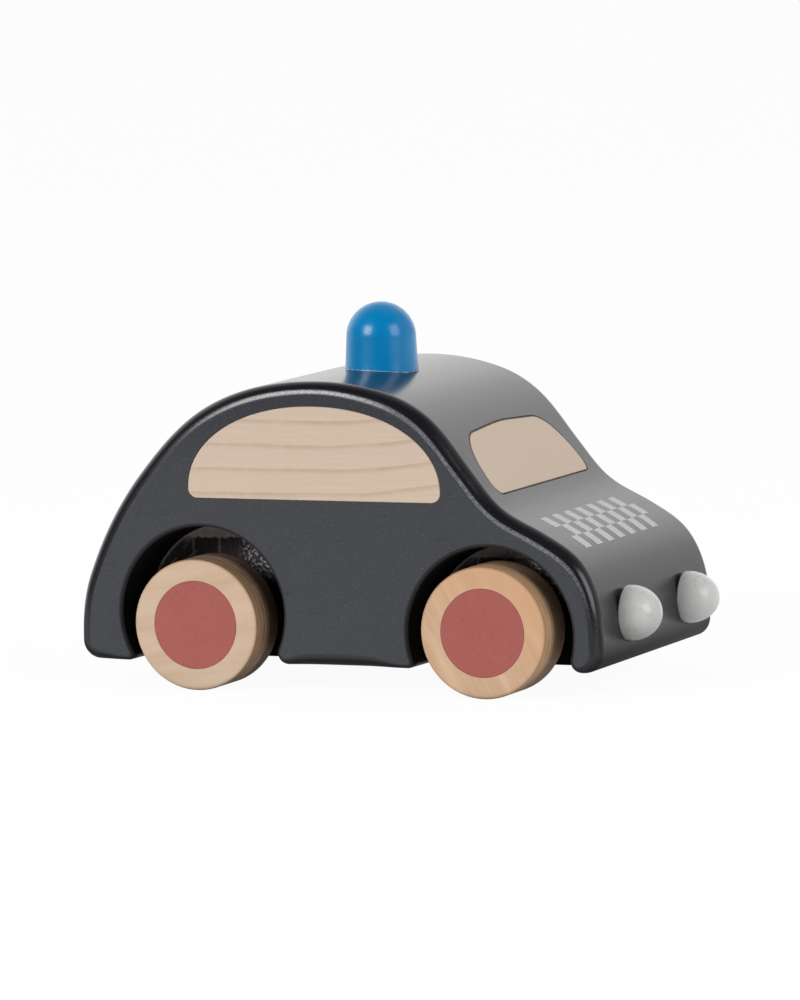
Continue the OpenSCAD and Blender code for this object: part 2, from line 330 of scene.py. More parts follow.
def fill(loop, step):
    """Triangles over a closed loop with inner points on a grid: (triangles, inner points)."""
    lo, hi = loop.min(0), loop.max(0)
    gx, gz = np.meshgrid(np.arange(lo[0] + step, hi[0], step), np.arange(lo[1] + step / 2, hi[1], step))
    pts = np.stack([gx.ravel(), gz.ravel()], 1)
    a, b = loop, np.roll(loop, -1, 0)
    keep = []
    for p in pts:
        cond = (a[:, 1] > p[1]) != (b[:, 1] > p[1])
        xs = a[:, 0] + (p[1] - a[:, 1]) * (b[:, 0] - a[:, 0]) / np.where(cond, b[:, 1] - a[:, 1], 1)
        inside = (cond & (p[0] < xs)).sum() % 2 == 1
        near = np.min(np.hypot(*(a - p).T))
        if inside and near > step * 0.45:
            keep.append(p)
    inner = np.array(keep).reshape(-1, 2)
    n = len(loop)
    verts = [Vector(p) for p in np.vstack([loop, inner])]
    edges = [(i, (i + 1) % n) for i in range(n)]
    v, _, f, _, _, _ = delaunay_2d_cdt(verts, edges, [], 1, 1e-7)
    assert len(v) == len(verts)
    return [tuple(t) for t in f], inner


# ---------------------------------------------------------------- window outlines and their surfaces
def screen_loop(half, low, high, top_r):
    loop = rounded([(-half, low), (half, low), (half - 2.3, high - 1), (0, high + 0.5), (-half + 2.3, high - 1)],
                   [3, 3, top_r, 150, top_r], 24)
    return evenly(loop, 0.5)


def side_loop():
    a, b, r, z0 = 35.9, 22.3, 2.6, 53.5
    t = np.radians(np.arange(0, 180.1, 1.0))
    full = lambda v: np.sign(v) * np.abs(v) ** 0.96
    loop = np.vstack([np.stack([a * full(np.cos(t)), z0 + b * full(np.sin(t))], 1),
                      arc((r - a, z0), r, 180, 270, 10)[1:],
                      arc((a - r, z0), r, -90, 0, 10)[:-1]])
    loop[:, 0] -= 10.3
    return evenly(loop[::-1], 0.5)[::-1]


def slope(first, last):
    line = curve(first, last, 0.3)
    nrm = normals(line, False)
    z = np.arange(46.0, 75.0, 0.05)

    def x_at(depth, zz):
        p = line - depth * nrm
        order = np.argsort(p[:, 1])
        return np.interp(zz, p[order, 1], p[order, 0])
    return x_at


def on_slope(x_at, loop, depth):
    """Loop points (y, z) put on the skin at a depth, as (x, y, z)."""
    return np.stack([x_at(depth, loop[:, 1]), loop[:, 0], loop[:, 1]], 1)


def screen_solid(name, loop, x_at, rings, cap=None):
    made = [on_slope(x_at, shifted(loop, g), d) for g, d in rings]
    top = None
    if cap:
        g, d = rings[-1]
        flat = shifted(loop, g)
        tris, inner = fill(flat, cap)
        top = (tris, on_slope(x_at, inner, d))
    bottom = None
    g, d = rings[0]
    tris, inner = fill(shifted(loop, g), 3.0)
    bottom = (tris, on_slope(x_at, inner, d))
    if top is None:
        g, d = rings[-1]
        tris, inner = fill(shifted(loop, g), 3.0)
        top = (tris, on_slope(x_at, inner, d))
    return outward(loft(name, made, bottom, top))


def grown(loop):
    """1 where shifted() grows the loop, -1 where it shrinks it."""
    d = shifted(loop, 0.5)
    area = lambda p: 0.5 * abs(np.sum(p[:, 0] * np.roll(p[:, 1], -1) - p[:, 1] * np.roll(p[:, 0], -1)))
    return 1 if area(d) > area(loop) else -1


def oriented(loop):
    return loop if grown(loop) > 0 else loop[::-1].copy()


SCREEN = oriented(screen_loop(34.3, 52.3, 68.3, 12.5))
REAR = oriented(screen_loop(30.3, 52.3, 66.8, 10.5))
SIDE = oriented(side_loop())
FRONT_AT, REAR_AT = slope(5, 10), slope(1, 4)
CUT_RINGS = [(0.0, VENEER), (0.0, 0.14), (0.14, 0.0), (0.5, -0.36), (0.5, -1.6)]
arc_steps = np.radians(np.linspace(0, 90, 7))
INLAY_RINGS = [(-0.05, VENEER), (-0.05, 0.17)] + [
    (-0.2 + 0.15 * math.cos(t), 0.17 - 0.15 * math.sin(t)) for t in arc_steps[1:]]


def side_rings(s, rings):
    return [np.stack([p[:, 0], np.full(len(p), s * (HALF_W - d)), p[:, 1]], 1)
            for p, d in ((shifted(SIDE, g), d) for g, d in rings)]


# ---------------------------------------------------------------- body pieces
def board_mesh(s):
    put = lambda p, y: np.stack([p[:, 0], s * np.broadcast_to(y, len(p)), p[:, 1]], 1)
    narrow = (ARCH_R - ARCH_IN_R) * BOARD_ARCH[:, None]
    rings = [put(BOARD + narrow * BOARD_N, CORE_HALF)]
    for a in np.radians(np.linspace(0, 90, 15)):
        rings.append(put(BOARD - (BOARD_EDGE * (1 - math.cos(a)))[:, None] * BOARD_N,
                         HALF_W - BOARD_EDGE * (1 - math.sin(a))))
    return outward(loft("board", rings))


def in_arch(mid):
    """Faces that line a wheel arch."""
    y = np.abs(mid[:, 1])
    far = np.min([np.hypot(mid[:, 0] - x, mid[:, 2] - z) for x, z in ARCHES], axis=0)
    return (y > FLOOR_Y - 0.1) & (y < HALF_W - 0.8 * ARCH_EDGE) & (far < ARCH_R + 0.2) & (mid[:, 2] > BELLY + 0.6) \
        & (np.abs(y - CORE_HALF) > 0.02)


def board(s, mats):
    cuts = [outward(loft("win", side_rings(s, CUT_RINGS))), screen_solid("scr", SCREEN, FRONT_AT, CUT_RINGS)]
    side = "left" if s > 0 else "right"
    o = carve(f"painted_side_{side}", board_mesh(s), cuts)
    return finish_piece(o, "car_body", [f"side_board_{side}"], mats, pick=in_arch)


def core(mats):
    ring = lambda y: np.stack([OUTLINE[:, 0], np.full(len(OUTLINE), y), OUTLINE[:, 1]], 1)
    me = outward(loft("core", [ring(-CORE_HALF), ring(CORE_HALF)]))
    cuts = [screen_solid("scr", SCREEN, FRONT_AT, CUT_RINGS), screen_solid("rear", REAR, REAR_AT, CUT_RINGS)]
    cuts.append(revolve("seat", [(0, -16), (4.05, -16), (4.05, 0), (LAMP_R + 0.2, 0), (LAMP_R + 0.2, 8), (0, 8)],
                        (LAMP_X, 0, SEAT_Z), (0, 0, 1)))
    for r, y, z in LIGHTS.values():
        cuts.append(revolve("seat", [(0, -12), (2.55, -12), (2.55, 0), (r + 0.2, 0), (r + 0.2, 8), (0, 8)],
                            (SEAT_X, y, z), (1, 0, 0)))
    for x in (REAR_X, FRONT_X):
        cuts.append(revolve("bore", [(0, -40), (4.05, -40), (4.05, 40), (0, 40)], (x, 0, AXLE_Z), (0, 1, 0), segs=128))
    flare = ARCH_IN_R + 1.2 * (ARCH_IN_R - FLOOR_R) / (CORE_HALF - FLOOR_Y)
    for x, z in ARCHES:
        for s in (1, -1):
            cuts.append(revolve("pocket", [(0, FLOOR_Y), (FLOOR_R, FLOOR_Y), (flare, CORE_HALF + 1.2), (0, CORE_HALF + 1.2)],
                                (x, 0, z), (0, s, 0), segs=192))
    o = carve("painted_core", me, cuts)
    return finish_piece(o, "car_body", ["body_core"], mats, pick=in_arch)


def side_window(s, mats):
    side = "left" if s > 0 else "right"
    o = add(f"wood_window_{side}", outward(loft("inlay", side_rings(s, INLAY_RINGS))))
    return finish_piece(o, "car_body", [f"side_window_{side}"], mats)


def screen(name, node, loop, x_at, mats):
    o = add(name, screen_solid("inlay", loop, x_at, INLAY_RINGS + [(-0.34, 0.02)], cap=1.2))
    edge = len(INLAY_RINGS) * len(loop)
    return finish_piece(o, "car_body", [node], mats, pick=lambda mid: np.arange(len(mid)) < edge)


# ---------------------------------------------------------------- turned pieces
def quarter(cr, ch, r, a0, a1, n=10):
    return [(cr + r * math.cos(t), ch + r * math.sin(t)) for t in np.radians(np.linspace(a0, a1, n + 1))]


def wheel(x, s, name, node, body, mats):
    r, t = WHEEL_R, WHEEL_T
    rec = DISC_R + 0.05
    prof = [(4.0, 0.0), (9.0, 0.0), (r - RIM_R, 0.0)] + quarter(r - RIM_R, RIM_R, RIM_R, -90, 0)[1:]
    prof += [(r, h) for h in (5.0, 8.0, 11.0)]
    prof += quarter(r - RIM_R, t - RIM_R, RIM_R, 0, 90)
    prof += [(14.0, t), (rec + 0.06, t), (rec, t - 0.06), (rec, t - DISC_T), (8.0, t - DISC_T), (4.0, t - DISC_T)]
    me = revolve(name, prof, (x, s * (FACE_Y - t), AXLE_Z), (0, s, 0), segs=192, closed=True)
    return finish_piece(add(name, me), body, [node], mats)


def disc(x, s, name, node, body, mats):
    r, t = DISC_R, DISC_T
    prof = [(0, 0), (r, 0)] + quarter(r - 0.1, t - 0.1, 0.1, 0, 90, 5) + [(9.0, t), (6.0, t), (3.0, t), (0, t)]
    me = revolve(name, prof, (x, s * (FACE_Y - t), AXLE_Z), (0, s, 0), segs=160)
    return finish_piece(add(name, me), body, [node], mats)


def lamp(mats):
    top = LAMP_R - 0.45
    post = LAMP_H - top
    prof = [(4.05, 9.0), (4.05, 0.0), (LAMP_R - 0.35, 0.0)] + quarter(LAMP_R - 0.3, 0.3, 0.3, -60, 0, 5)
    prof += [(LAMP_R + (top - LAMP_R) * k, 0.3 + (post - 0.3) * k) for k in np.linspace(0, 1, 9)[1:]]
    prof += quarter(0, post, top, 0, 90, 28)[1:-1] + [(0, LAMP_H)]
    prof = [(0, 9.0)] + prof

    def wobble(r, h, a):
        # hand-dipped lacquer runs a little thicker on one side of the foot
        k = max(0.0, 1 - h / 2.2)
        return r + (0.10 * k * k * (0.5 + 0.5 * math.cos(a - 0.35)) if r > 9 else 0), h
    me = revolve("roof_lamp_turned", prof, (LAMP_X, 0, SEAT_Z), (0, 0, 1), segs=192, wobble=wobble)
    return finish_piece(add("roof_lamp_turned", me), "car_body", ["roof_lamp"], mats)


def headlight(s, mats):
    (r, y, z), base = LIGHTS[s], 1.2
    side = "left" if s > 0 else "right"
    prof = [(0, 5.0), (2.55, 5.0), (2.55, 0.0), (r - 0.4, 0.0)] + quarter(r - 0.4, 0.4, 0.4, -60, 0, 5)
    for k, t in enumerate(np.radians(np.linspace(0, 90, 45))):
        rr, hh = r * math.cos(t), base + (LIGHT_L - base) * math.sin(t)
        prof.append((rr, hh))
    prof[-1] = (0, LIGHT_L)
    me = revolve("hl", prof, (SEAT_X, y, z), (1, 0, 0), segs=160)
    return finish_piece(add(f"headlight_turned_{side}", me), "car_body", [f"headlight_{side}"], mats)


def ribbon(name, points, radii, sides=10):
    """A closed tube along points with its own radius at each."""
    p = np.array(points, float)
    t = np.roll(p, -1, 0) - np.roll(p, 1, 0)
    t /= np.linalg.norm(t, axis=1)[:, None]
    up = np.array([0, 0, 1.0])
    b = np.cross(t, up)
    b /= np.linalg.norm(b, axis=1)[:, None]
    c = np.cross(b, t)
    verts, faces, n = [], [], len(p)
    for i in range(n):
        for k in range(sides):
            a = 2 * math.pi * k / sides
            verts.append(p[i] + radii[i] * (math.cos(a) * b[i] + math.sin(a) * c[i]))
    for i in range(n):
        for k in range(sides):
            j, m = (i + 1) % n, (k + 1) % sides
            faces.append((i * sides + k, j * sides + k, j * sides + m, i * sides + m))
    return outward(mesh_from(name, verts, faces))


def glue_line(mats):
    a = np.arange(180) * 2 * math.pi / 180
    r = LAMP_R + 0.06
    x, y = LAMP_X + r * np.cos(a), r * np.sin(a)
    z = np.maximum(roof_z(x), SEAT_Z) + 0.02
    rad = 0.125 + 0.04 * np.sin(3 * a + 1.0) + 0.035 * np.sin(7 * a) + 0.025 * np.sin(13 * a + 2)
    o = add("lamp_glue_line", ribbon("glue", np.stack([x, y, z], 1), rad))
    return finish_piece(o, "car_body", [], mats, weighted=False)


# ---------------------------------------------------------------- materials
class Mat:
    """A procedural material: a Principled shader with helpers to feed it."""

    def __init__(self, name):
        self.m = bpy.data.materials.new(name)
        self.m.use_nodes = True
        self.t = self.m.node_tree
        self.t.nodes.clear()
        self.out = self.n("ShaderNodeOutputMaterial")
        self.b = self.n("ShaderNodeBsdfPrincipled")
        self.t.links.new(self.b.outputs[0], self.out.inputs[0])
        self.tc = self.n("ShaderNodeTexCoord").outputs["Object"]
        mp = self.n("ShaderNodeVectorMath", operation="SCALE")
        mp.inputs["Scale"].default_value = 1000.0
        self.t.links.new(self.tc, mp.inputs[0])
        self.p = mp.outputs[0]          # place on the object in mm
        self._xyz = None

    def n(self, kind, **kw):
        x = self.t.nodes.new(kind)
        for k, v in kw.items():
            setattr(x, k, v)
        return x

    def put(self, socket, v):
        if isinstance(v, bpy.types.NodeSocket):
            self.t.links.new(v, socket)
        elif isinstance(v, (tuple, list)) and socket.type == "RGBA" and len(v) == 3:
            socket.default_value = (*v, 1)
        else:
            socket.default_value = v

    def xyz(self):
        if self._xyz is None:
            s = self.n("ShaderNodeSeparateXYZ")
            self.t.links.new(self.p, s.inputs[0])
            self._xyz = s.outputs
        return self._xyz

    def vec(self, x, y, z):
        c = self.n("ShaderNodeCombineXYZ")
        for s, v in zip(c.inputs, (x, y, z)):
            self.put(s, v)
        return c.outputs[0]

    def at(self, scale=(1, 1, 1), move=(0, 0, 0), turn=(0, 0, 0), src=None):
        m = self.n("ShaderNodeMapping")
        self.put(m.inputs["Vector"], src or self.p)
        m.inputs["Location"].default_value = move
        m.inputs["Rotation"].default_value = [math.radians(v) for v in turn]
        m.inputs["Scale"].default_value = scale
        return m.outputs[0]

    def math(self, op, a, b=None, c=None, clamp=False):
        m = self.n("ShaderNodeMath", operation=op, use_clamp=clamp)
        for s, v in zip(m.inputs, (a, b, c)):
            if v is not None:
                self.put(s, v)
        return m.outputs[0]

    def noise(self, vec, scale=1.0, detail=2.0, rough=0.5, twist=0.0):
        x = self.n("ShaderNodeTexNoise")
        self.put(x.inputs["Vector"], vec)
        x.inputs["Scale"].default_value = scale
        x.inputs["Detail"].default_value = detail
        x.inputs["Roughness"].default_value = rough
        x.inputs["Distortion"].default_value = twist
        return x.outputs["Fac"] if "Fac" in x.outputs else x.outputs[0]

    def voronoi(self, vec, scale=1.0, feature="F1"):
        x = self.n("ShaderNodeTexVoronoi", feature=feature)
        self.put(x.inputs["Vector"], vec)
        x.inputs["Scale"].default_value = scale
        return x.outputs["Distance"]

    def band(self, v, a, b, c=0.0, d=1.0, smooth=True):
        x = self.n("ShaderNodeMapRange", interpolation_type="SMOOTHSTEP" if smooth else "LINEAR")
        self.put(x.inputs["Value"], v)
        for k, val in zip(("From Min", "From Max", "To Min", "To Max"), (a, b, c, d)):
            self.put(x.inputs[k], val)
        return x.outputs["Result"]

    def mix(self, f, a, b, kind="MIX"):
        x = self.n("ShaderNodeMix", data_type="RGBA", blend_type=kind)
        self.put(x.inputs[0], f)
        self.put(x.inputs[6], a)
        self.put(x.inputs[7], b)
        return x.outputs[2]

    def bump(self, h, strength=1.0, dist=0.0001, normal=None):
        x = self.n("ShaderNodeBump")
        x.inputs["Strength"].default_value = strength
        x.inputs["Distance"].default_value = dist
        self.put(x.inputs["Height"], h)
        if normal is not None:
            self.put(x.inputs["Normal"], normal)
        return x.outputs[0]

    def set(self, **kw):
        for k, v in kw.items():
            self.put(self.b.inputs[k.replace("_", " ")], v)
        return self


def paint(name, chequer=False):
    """Charcoal lacquer over wood: smooth and dark on the turned-over skin and edges, flatter and greyer on the sawn side faces."""
    k = Mat(name)
    x, y, z = k.xyz()
    ay = k.math("ABSOLUTE", y)
    side = k.band(ay, 43.93, 43.995)
    fine = k.noise(k.p, 2.3, 3.0, 0.6)
    grain = k.noise(k.at((0.14, 1.3, 1.3)), 1.0, 3.0, 0.6)
    mott = k.noise(k.p, 0.10, 2.0, 0.5)
    speck_noise = k.noise(k.at(move=(11, 3, 5)), 3.4, 2.0, 0.6)
    skin = k.mix(mott, (0.0080, 0.0084, 0.0112), (0.0108, 0.0112, 0.0145))
    flat = k.mix(mott, (0.0222, 0.0250, 0.0320), (0.0286, 0.0316, 0.0392))
    cloud = k.noise(k.at((0.5, 0.5, 0.8)), 1.0, 3.0, 0.6)
    flat = k.mix(k.band(cloud, 0.35, 0.65, 0.0, 0.55, False), flat, (0.0225, 0.0250, 0.0315))
    # Painted shade: the side faces are painted darker towards their top.
    flat = k.mix(k.band(z, 50.0, 80.0, 0.0, 0.75), flat, (0.0140, 0.0155, 0.0200))
    col = k.mix(side, skin, flat)
    far = [k.math("SQRT", k.math("ADD", k.math("POWER", k.math("SUBTRACT", x, cx), 2.0),
                                 k.math("POWER", k.math("SUBTRACT", z, cz), 2.0))) for cx, cz in ARCHES]
    mouth = k.math("MULTIPLY", k.band(k.math("MINIMUM", *far), 25.4, 24.5), k.band(ay, 40.0, 41.0))
    # Painted highlight: a pale, flecked line along the edge roundover where the key light's reflection runs, fading
    # towards the tail, off the lower edges and kept out of the arch mouths.
    painted_edge_highlight = k.math("MULTIPLY", k.band(ay, 43.55, 43.76), k.band(ay, 43.972, 43.915))
    painted_edge_highlight = k.math("MULTIPLY", painted_edge_highlight, k.math("MULTIPLY", k.band(z, 16.0, 40.0), k.band(x, -62.0, -8.0, 0.06, 1.0)))
    painted_edge_highlight = k.math("MULTIPLY", painted_edge_highlight, k.math("SUBTRACT", 1.0, mouth))
    highlight_flecks = k.band(k.noise(k.at(move=(2, 9, 4)), 2.4, 3.0, 0.65), 0.38, 0.60, 0.34, 1.0)
    col = k.mix(k.math("MULTIPLY", k.math("MULTIPLY", painted_edge_highlight, highlight_flecks), 0.92), col, (0.23, 0.235, 0.25))
    col = k.mix(k.math("MULTIPLY", k.band(fine, 0.55, 0.74), k.band(side, 0, 1, 0.30, 1.0, False)), col, (0.062, 0.066, 0.075))
    col = k.mix(k.band(grain, 0.36, 0.24), col, (0.012, 0.012, 0.015))
    # Painted glints: pale flecks, strongest high on the side faces.
    high = k.math("MULTIPLY", k.band(z, 56.0, 76.0), side)
    col = k.mix(k.math("MULTIPLY", k.band(speck_noise, 0.66, 0.74), k.band(high, 0, 1, 0.05, 0.55, False)), col, (0.15, 0.155, 0.165))
    rough = k.math("ADD", k.band(side, 0, 1, 0.22, 0.46, False), k.band(fine, 0.3, 0.7, -0.03, 0.04, False))
    rough = k.math("SUBTRACT", rough, k.math("MULTIPLY", side, k.band(z, 48.0, 78.0, 0.0, 0.11)))
    rough = k.math("ADD", rough, k.math("MULTIPLY", k.math("MULTIPLY", mouth, k.math("SUBTRACT", 1.0, side)), 0.4))
    rough = k.math("ADD", rough, k.math("MULTIPLY", k.math("MULTIPLY", k.band(z, 18.0, 9.0), k.band(x, 54.0, 62.0)), k.band(side, 0, 1, 0.38, 0.0, False)))
    bumpy = k.math("MULTIPLY", k.math("ADD", k.math("MULTIPLY", fine, 0.5), k.math("MULTIPLY", grain, 0.5)),
                   k.band(side, 0, 1, 0.22, 1.0, False))
    if chequer:
        wob = k.math("MULTIPLY", k.math("SUBTRACT", k.noise(k.p, 0.9, 2.0), 0.5), 0.45)
        wob2 = k.math("MULTIPLY", k.math("SUBTRACT", k.noise(k.at(move=(40, 7, 3)), 0.9, 2.0), 0.5), 0.45)
        u = k.math("DIVIDE", k.math("ADD", y, wob), 4.2)
        v = k.math("DIVIDE", k.math("SUBTRACT", k.math("ADD", x, wob2), 48.0), 4.3)
        par = k.math("MODULO", k.math("ADD", k.math("FLOOR", u), k.math("ADD", k.math("FLOOR", v), 100.0)), 2.0)
        inside = k.math("MULTIPLY", k.math("LESS_THAN", k.math("ABSOLUTE", u), 7.0),
                        k.math("MULTIPLY", k.math("GREATER_THAN", v, 0.0), k.math("LESS_THAN", v, 3.0)))
        front = k.math("MULTIPLY", inside, k.math("GREATER_THAN", z, 30.0))
        worn = k.band(k.noise(k.p, 1.6, 4.0, 0.65), 0.30, 0.36)
        mask = k.math("MULTIPLY", k.math("MULTIPLY", par, front), worn)
        col = k.mix(mask, col, (0.56, 0.575, 0.59))
        rough = k.math("ADD", rough, k.math("MULTIPLY", mask, 0.15))
    k.set(Base_Color=col, Roughness=rough)
    k.set(Normal=k.bump(bumpy, 1.0, 0.00003))
    return k.m


def arch_paint(name):
    """Thin flat paint in the routed arches: the walls and lower floor painted near black as painted shade, and a floor
    with tool marks, torn fibres and light specks.
    """
    k = Mat(name)
    x, y, z = k.xyz()
    (rx, rz), (fx, fz) = ARCHES
    ahead = k.math("GREATER_THAN", x, 0.0)
    dx = k.math("SUBTRACT", x, k.math("MULTIPLY_ADD", ahead, fx - rx, rx))
    dz = k.math("SUBTRACT", z, k.math("MULTIPLY_ADD", ahead, fz - rz, rz))
    r = k.math("SQRT", k.math("ADD", k.math("MULTIPLY", dx, dx), k.math("MULTIPLY", dz, dz)))
    turn = k.math("ARCTAN2", dz, dx)
    floor = k.band(k.math("ABSOLUTE", y), FLOOR_Y + 0.4, FLOOR_Y + 0.1)
    rag = k.math("MULTIPLY", k.math("SUBTRACT", k.noise(k.at((0.5, 0.5, 0.2)), 1.0, 4.0, 0.7), 0.5), 2.6)
    h = k.math("SUBTRACT", k.math("ADD", dz, rag), 18.8)
    fuzz = k.noise(k.at((1.6, 1.6, 0.22), turn=(0, 14, 0)), 1.0, 4.0, 0.65)
    arcs = k.noise(k.vec(k.math("MULTIPLY", r, 1.5), k.math("MULTIPLY", turn, 2.2), 0.0), 1.0, 3.0, 0.6)
    speck_noise = k.noise(k.at(move=(5, 2, 9)), 1.7, 3.0, 0.65)
    # Painted shade: the walls and the lower floor are painted near black.
    base = k.mix(k.noise(k.p, 0.3, 3.0), (0.0022, 0.0020, 0.0022), (0.0046, 0.0042, 0.0044))
    low = k.mix(k.band(fuzz, 0.35, 0.7), (0.040, 0.035, 0.034), (0.076, 0.067, 0.063))
    pale = k.mix(k.band(fuzz, 0.3, 0.7), (0.34, 0.300, 0.285), (0.47, 0.420, 0.400))
    mark = k.mix(k.band(h, -0.3, 0.3), low, pale)
    lip = k.math("MULTIPLY", k.band(h, -0.6, -0.1), k.band(h, 0.7, 0.1))
    mark = k.mix(k.math("MULTIPLY", lip, 0.7), mark, (0.52, 0.46, 0.43))
    cut = k.math("MULTIPLY", k.band(arcs, 0.56, 0.68), k.band(dx, 3.0, -9.0))
    mark = k.mix(k.math("MULTIPLY", cut, 0.8), mark, (0.34, 0.305, 0.295))
    rim = k.math("MULTIPLY", k.band(r, 21.2, 21.6), k.band(dx, 6.0, -4.0))
    mark = k.mix(k.math("MULTIPLY", rim, 0.7), mark, (0.40, 0.365, 0.355))
    for at in (-9.4, -1.9):
        tick = k.math("MULTIPLY", k.band(k.math("ABSOLUTE", k.math("SUBTRACT", dx, at)), 0.45, 0.12), k.band(dz, 13.0, 15.5))
        mark = k.mix(k.math("MULTIPLY", tick, 0.45), mark, (0.48, 0.43, 0.41))
    sift = k.math("MULTIPLY", k.band(speck_noise, 0.50, 0.64), k.band(dx, 3.0, 7.0))
    mark = k.mix(k.math("MULTIPLY", sift, 0.85), mark, (0.62, 0.60, 0.68))
    deep = k.band(dz, 6.0, 13.0)
    col = k.mix(k.math("MULTIPLY", floor, deep), base, mark)
    k.set(Base_Color=col, Roughness=k.band(fuzz, 0.3, 0.7, 0.72, 0.9, False))
    k.b.inputs["Specular IOR Level"].default_value = 0.12
    k.set(Normal=k.bump(fuzz, 0.7, 0.00008))
    return k.m


def stain(name):
    """Edge of an inlay, darkened where paint and glue soaked into it."""
    k = Mat(name)
    fine = k.noise(k.p, 1.1, 3.0, 0.6)
    k.set(Base_Color=k.mix(k.band(fine, 0.35, 0.65), (0.075, 0.048, 0.033), (0.22, 0.15, 0.105)),
          Roughness=k.band(fine, 0.3, 0.7, 0.55, 0.7, False))
    k.set(Normal=k.bump(fine, 0.5, 0.00004))
    return k.m


def window_wood(name, kind="board"):
    """Bare pale hardwood: growth lines along the car on the boards, short flecks on the block's sloping face."""
    k = Mat(name)
    x, y, z = k.xyz()
    fibre = k.noise(k.at((0.06, 1.6, 2.2)), 1.0, 4.0, 0.6)
    broad = k.noise(k.at((0.05, 0.2, 0.12)), 1.0, 2.0, 0.5)
    col = k.mix(k.band(fibre, 0.3, 0.7, smooth=False), (0.604, 0.473, 0.362), (0.642, 0.516, 0.405))
    if kind == "board":
        xr = k.math("MAXIMUM", k.math("ADD", x, 12.0), 0.0)
        lift = k.math("MULTIPLY", k.math("MULTIPLY", xr, xr), 0.0023)
        wav = k.math("MULTIPLY", k.math("SUBTRACT", k.noise(k.at((0.06, 0.06, 0.06)), 1.0, 2.0), 0.5), 1.3)
        s = k.math("ADD", k.math("DIVIDE", k.math("SUBTRACT", k.math("ADD", k.math("SUBTRACT", z, lift), wav), 52.56), 6.46), 10.94)
        f = k.math("FRACT", s)
        line = k.math("MULTIPLY", k.band(f, 0.70, 0.94), k.band(f, 0.99, 0.95))
        soft = k.math("MULTIPLY", line, k.band(broad, 0.25, 0.75, 0.4, 0.95, False))
        col = k.mix(k.math("MULTIPLY", soft, 0.72), col, (0.44, 0.31, 0.20))
        flame = k.noise(k.at((0.22, 0.05, 0.03)), 1.0, 2.0, 0.5)
        col = k.mix(k.band(flame, 0.4, 0.7, 0, 0.35), col, (0.66, 0.50, 0.40))
    else:
        fleck = k.noise(k.at((0.5, 0.5, 3.2), turn=(8, 0, 0)), 1.0, 2.0, 0.55)
        col = k.mix(k.math("MULTIPLY", k.band(fleck, 0.58, 0.74), 0.3), col, (0.47, 0.36, 0.27))
        # Painted light: the sloping face gets a much paler copy of the same wood.
        col = k.mix(0.70, col, (0.855, 0.682, 0.536))
    k.set(Base_Color=col, Roughness=k.band(fibre, 0.2, 0.8, 0.58, 0.70, False))
    k.b.inputs["Specular IOR Level"].default_value = 0.35
    k.set(Normal=k.bump(fibre, 0.6, 0.00004))
    return k.m


